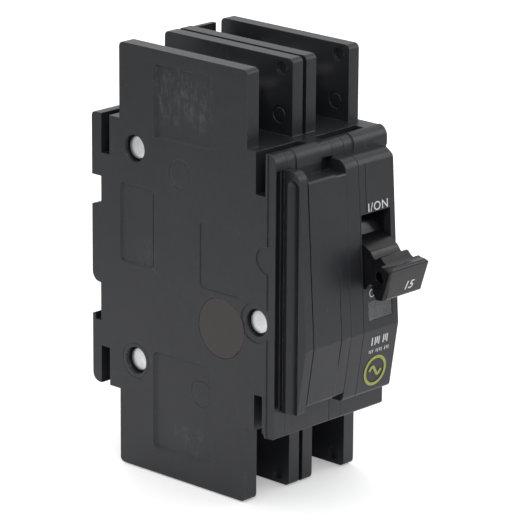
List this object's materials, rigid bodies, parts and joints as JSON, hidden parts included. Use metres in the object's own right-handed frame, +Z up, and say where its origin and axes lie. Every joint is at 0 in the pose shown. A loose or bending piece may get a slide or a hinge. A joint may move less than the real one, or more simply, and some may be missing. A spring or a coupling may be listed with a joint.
{
  "type": "circuit breaker",
  "caption": "Two-pole unit-mount circuit breaker with rail notches, end barriers, cable lugs at both ends, a toggle handle and a trip window.",
  "frame": {"origin": "middle of the rear seat face that enters the rail, on the seam between the poles", "axes": "+X right seen from the front, -Y out of the front where the handle is, +Z up towards the line end"},
  "size_m": [0.0382, 0.0749, 0.103],
  "materials": {
    "case": "moulded dark thermoset, fine satin texture",
    "handle": "polished black moulding",
    "inner_plastic": "plain moulding",
    "lens": "clear smoked plastic",
    "flag": "signal red moulding",
    "fibre": "brown vulcanised fibre",
    "liner": "arc-resistant fibre sheet",
    "rivet": "bright nickel plated, rolled",
    "lug": "tin plated, satin",
    "screw": "zinc plated",
    "copper": "bare copper",
    "bimetal": "rolled strip",
    "spring_steel": "oiled spring steel",
    "steel": "zinc plated sheet"
  },
  "bodies": {
    "case": {"left_cover": "case", "left_base": "case", "right_cover": "case", "right_base": "case", "case_rivets": "rivet", "aperture_disc": "fibre", "trip_lens": "lens", "arm_pins": "steel", "toggle_spring_left": "steel", "toggle_spring_right": "steel", "yoke_left": "steel", "yoke_right": "steel", "bimetal_left": "bimetal", "bimetal_right": "bimetal", "braid_left": "copper", "braid_right": "copper", "calibration_screws": "screw", "line_strap_left": "copper", "line_strap_right": "copper", "load_strap_left": "copper", "load_strap_right": "copper", "arc_plates_left": "steel", "arc_plates_right": "steel", "arc_liners": "liner", "line_lug_left": "lug", "line_lug_right": "lug", "load_lug_left": "lug", "load_lug_right": "lug"},
    "handle": {"handle": "handle", "left_crank": "inner_plastic", "handle_shaft": "steel"},
    "link_left": {"link_left": "steel"},
    "link_right": {"link_right": "steel"},
    "contact_arm_left": {"contact_arm_left": "copper"},
    "contact_arm_right": {"contact_arm_right": "copper"},
    "trip_bar": {"trip_bar": "inner_plastic", "trip_lever_left": "steel", "trip_lever_right": "steel"},
    "armature_left": {"armature_left": "steel"},
    "armature_right": {"armature_right": "steel"},
    "trip_flag": {"trip_flag": "flag"},
    "rail_clip": {"rail_clip": "spring_steel"},
    "line_screw_left": {"line_screw_left": "screw"},
    "line_screw_right": {"line_screw_right": "screw"},
    "load_screw_left": {"load_screw_left": "screw"},
    "load_screw_right": {"load_screw_right": "screw"}
  },
  "joints": [
    {"name": "handle_swing", "type": "hinge", "parent": "case", "child": "handle", "pos_m": [0, -0.053, 0.0072], "axis": [-1, 0, 0], "range_deg": [0, 35]},
    {"name": "link_left_pivot", "type": "hinge", "parent": "handle", "child": "link_left", "pos_m": [0, -0.0547, 0.01243], "axis": [-1, 0, 0], "range_deg": [-36.5, 0]},
    {"name": "contact_arm_left_pivot", "type": "hinge", "parent": "case", "child": "contact_arm_left", "pos_m": [0, -0.024, 0.002], "axis": [-1, 0, 0], "range_deg": [0, 16.2], "deforming": ["toggle_spring_left"]},
    {"name": "link_right_pivot", "type": "hinge", "parent": "handle", "child": "link_right", "pos_m": [0, -0.0547, 0.01243], "axis": [-1, 0, 0], "range_deg": [-36.5, 0]},
    {"name": "contact_arm_right_pivot", "type": "hinge", "parent": "case", "child": "contact_arm_right", "pos_m": [0, -0.024, 0.002], "axis": [-1, 0, 0], "range_deg": [0, 16.2], "deforming": ["toggle_spring_right"]},
    {"name": "trip_bar_turn", "type": "hinge", "parent": "case", "child": "trip_bar", "pos_m": [0, -0.042, -0.004], "axis": [1, 0, 0], "range_deg": [0, 14], "stiffness_Nm_per_rad": 0.0004, "springref_deg": -5.73},
    {"name": "armature_left_pivot", "type": "hinge", "parent": "case", "child": "armature_left", "pos_m": [0, -0.0305, -0.0224], "axis": [-1, 0, 0], "range_deg": [0, 4.1]},
    {"name": "armature_right_pivot", "type": "hinge", "parent": "case", "child": "armature_right", "pos_m": [0, -0.0305, -0.0224], "axis": [-1, 0, 0], "range_deg": [0, 4.1]},
    {"name": "trip_flag_pivot", "type": "hinge", "parent": "case", "child": "trip_flag", "pos_m": [0, -0.046, -0.0145], "axis": [-1, 0, 0], "range_deg": [0, 20.6]},
    {"name": "rail_clip_slide", "type": "slide", "parent": "case", "child": "rail_clip", "axis": [0, 0, 1], "range_m": [0, 0.0024]},
    {"name": "line_screw_left_travel", "type": "slide", "parent": "case", "child": "line_screw_left", "axis": [0, 1, 0], "range_m": [0, 0.003]},
    {"name": "line_screw_right_travel", "type": "slide", "parent": "case", "child": "line_screw_right", "axis": [0, 1, 0], "range_m": [0, 0.003]},
    {"name": "load_screw_left_travel", "type": "slide", "parent": "case", "child": "load_screw_left", "axis": [0, 1, 0], "range_m": [0, 0.003]},
    {"name": "load_screw_right_travel", "type": "slide", "parent": "case", "child": "load_screw_right", "axis": [0, 1, 0], "range_m": [0, 0.003]}
  ],
  "couplings": [
    {"joint": "link_left_pivot", "follows": "handle_swing", "ratio": -1.0259},
    {"joint": "link_right_pivot", "follows": "handle_swing", "ratio": -1.0259},
    {"joint": "contact_arm_left_pivot", "follows": "handle_swing", "ratio": 0.45714},
    {"joint": "contact_arm_right_pivot", "follows": "handle_swing", "ratio": 0.45714},
    {"joint": "armature_left_pivot", "follows": "trip_bar_turn", "ratio": 0.28571},
    {"joint": "armature_right_pivot", "follows": "trip_bar_turn", "ratio": 0.28571},
    {"joint": "trip_flag_pivot", "follows": "trip_bar_turn", "ratio": 1.45}
  ]
}
